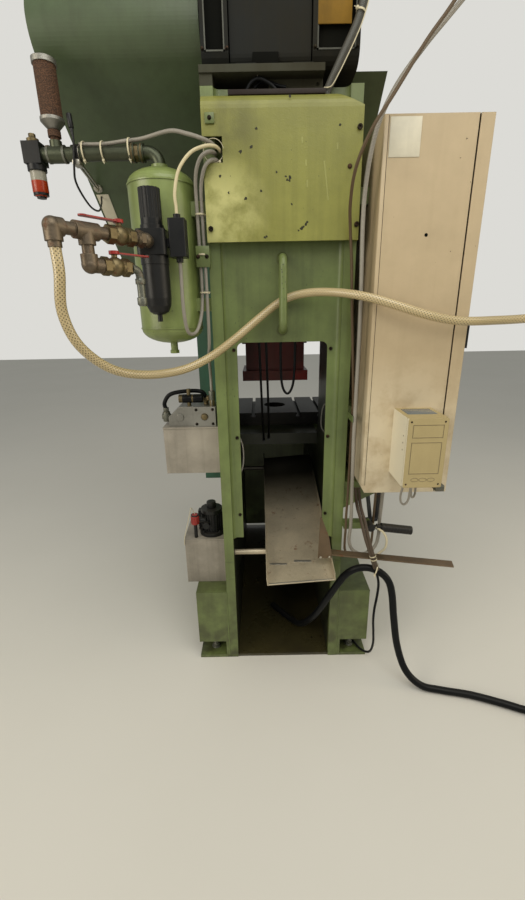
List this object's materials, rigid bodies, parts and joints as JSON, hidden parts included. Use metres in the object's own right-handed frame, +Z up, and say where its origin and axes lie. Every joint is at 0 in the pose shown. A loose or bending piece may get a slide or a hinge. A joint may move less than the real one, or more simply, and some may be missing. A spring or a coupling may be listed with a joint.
{
  "type": "mechanical stamping press",
  "caption": "Open-back mechanical stamping press in chipped green paint, with flywheel guard, grey motor, beige electric cabinet, air supply, oil units, parts chute and hoses.",
  "frame": {"origin": "on the floor, at the centre of the four anchor holes", "axes": "+Z up, -Y to the pictured rear side where the chute comes out, +X to the side with the electric cabinet"},
  "size_m": [2.166, 2.0747, 2.63],
  "materials": {
    "frame_paint": "chipped, oily green paint",
    "cover_paint": "stippled light green paint with chips",
    "guard_paint": "dark green paint",
    "base_steel": "oily olive floor plate",
    "ground_steel": "ground and oiled",
    "ram_paint": "worn red paint",
    "bearing_bronze": "bronze",
    "clutch_lining": "red-brown paint",
    "cast_iron": "machined and as cast",
    "motor_paint": "dark grey paint",
    "belt_rubber": "dusty",
    "screw_steel": "dark, partly rusty",
    "worn_steel": "dirty and rusty",
    "cabinet_paint": "semi-gloss beige",
    "black_plastic": "satin",
    "zinc_plate": "zinc plated",
    "receiver_paint": "glossy light green",
    "pipe_steel": "dull, partly rusty",
    "sintered_bronze": "porous brown",
    "valve_brass": "tarnished",
    "lever_paint": "glossy red",
    "tank_grey": "grey with oil stains",
    "cast_aluminium": "machined and dirty",
    "cable_grey": "dusty",
    "cable_brown": "dusty",
    "hose_braid": "clear hose over cream braid",
    "hose_black": "satin",
    "fitting_steel": "zinc plated"
  },
  "bodies": {
    "frame": {"side_plate_left": "frame_paint", "side_plate_right": "frame_paint", "rear_wall": "frame_paint", "base_plate": "base_steel", "feet": "frame_paint", "bed": "frame_paint", "bolster_plate": "ground_steel", "crown_top_plate": "frame_paint", "crown_front_cover": "frame_paint", "motor_base": "frame_paint", "rear_cover": "cover_paint", "flywheel_guard": "guard_paint", "crank_wing_cover": "guard_paint", "side_guards": "guard_paint", "ram_gibs": "ground_steel", "crank_bushes": "bearing_bronze", "motor": "motor_paint", "drive_belts": "belt_rubber", "rear_handle": "frame_paint", "frame_screws": "screw_steel", "chute": "worn_steel", "chute_bar": "worn_steel", "cabinet_body": "cabinet_paint", "cabinet_brackets": "frame_paint", "mounting_plate": "zinc_plate", "interface_box": "cabinet_paint", "air_receiver": "receiver_paint", "header_pipe": "pipe_steel", "silencer": "sintered_bronze", "lubricator": "black_plastic", "air_regulator": "black_plastic", "filter_bowl": "black_plastic", "pressure_switch": "black_plastic", "inlet_pipework": "pipe_steel", "ball_valves": "valve_brass", "oil_tanks": "tank_grey", "manifold_block": "cast_aluminium", "manifold_fittings": "valve_brass", "pump_unit": "black_plastic", "held_cables": "cable_grey", "air_hose": "hose_braid", "air_hose_coupling": "fitting_steel", "black_hose": "hose_black", "black_hose_coil": "hose_black", "black_hose_connector": "valve_brass", "supply_conduit": "cable_grey", "supply_cable": "cable_brown", "ceiling_fitting": "fitting_steel"},
    "crank": {"crankshaft": "ground_steel", "clutch_disc": "clutch_lining"},
    "rod": {"connecting_rod": "cast_iron"},
    "ram": {"ram": "ram_paint"},
    "flywheel": {"flywheel": "cast_iron"},
    "pulley": {"motor_pulley": "cast_iron"},
    "door": {"cabinet_door": "cabinet_paint"},
    "latch": {"door_latch": "black_plastic"},
    "knob": {"regulator_knob": "black_plastic"},
    "upper_lever": {"upper_valve_lever": "lever_paint"},
    "lower_lever": {"lower_valve_lever": "lever_paint"},
    "hand_lever": {"hand_lever": "black_plastic"}
  },
  "joints": [
    {"name": "crank_spin", "type": "hinge", "parent": "frame", "child": "crank", "pos_m": [0, 0.33, 2.17], "axis": [1, 0, 0], "continuous": true},
    {"name": "rod_swing", "type": "hinge", "parent": "crank", "child": "rod", "pos_m": [0, 0.33, 2.195], "axis": [1, 0, 0], "continuous": true},
    {"name": "ram_slide", "type": "slide", "parent": "frame", "child": "ram", "axis": [0, 0, 1], "range_m": [-0.05, 0]},
    {"name": "flywheel_spin", "type": "hinge", "parent": "frame", "child": "flywheel", "pos_m": [-0.6, 0.33, 2.17], "axis": [1, 0, 0], "continuous": true},
    {"name": "pulley_spin", "type": "hinge", "parent": "frame", "child": "pulley", "pos_m": [-0.5, -0.44, 2.42], "axis": [1, 0, 0], "continuous": true},
    {"name": "door_hinge", "type": "hinge", "parent": "frame", "child": "door", "pos_m": [0.578, -0.191, 1.49], "axis": [0, 0, 1], "range_deg": [0, 110]},
    {"name": "latch_turn", "type": "hinge", "parent": "door", "child": "latch", "pos_m": [0.62, -0.685, 1.49], "axis": [1, 0, 0], "range_deg": [0, 90]},
    {"name": "regulator_turn", "type": "hinge", "parent": "frame", "child": "knob", "pos_m": [-0.41, -0.742, 1.86], "axis": [0, 0, 1], "continuous": true},
    {"name": "upper_valve_turn", "type": "hinge", "parent": "frame", "child": "upper_lever", "pos_m": [-0.47101, -0.88124, 1.8], "axis": [0, 0, 1], "range_deg": [0, 90]},
    {"name": "lower_valve_turn", "type": "hinge", "parent": "frame", "child": "lower_lever", "pos_m": [-0.48666, -0.902, 1.71], "axis": [0, 0, 1], "range_deg": [0, 90]},
    {"name": "hand_lever_swing", "type": "hinge", "parent": "frame", "child": "hand_lever", "pos_m": [0.36, -0.66, 0.704], "axis": [0, -1, 0], "range_deg": [-10, 25]}
  ],
  "couplings": [
    {"joint": "rod_swing", "follows": "crank_spin", "ratio": -1},
    {"joint": "pulley_spin", "follows": "flywheel_spin", "ratio": 4.919}
  ]
}
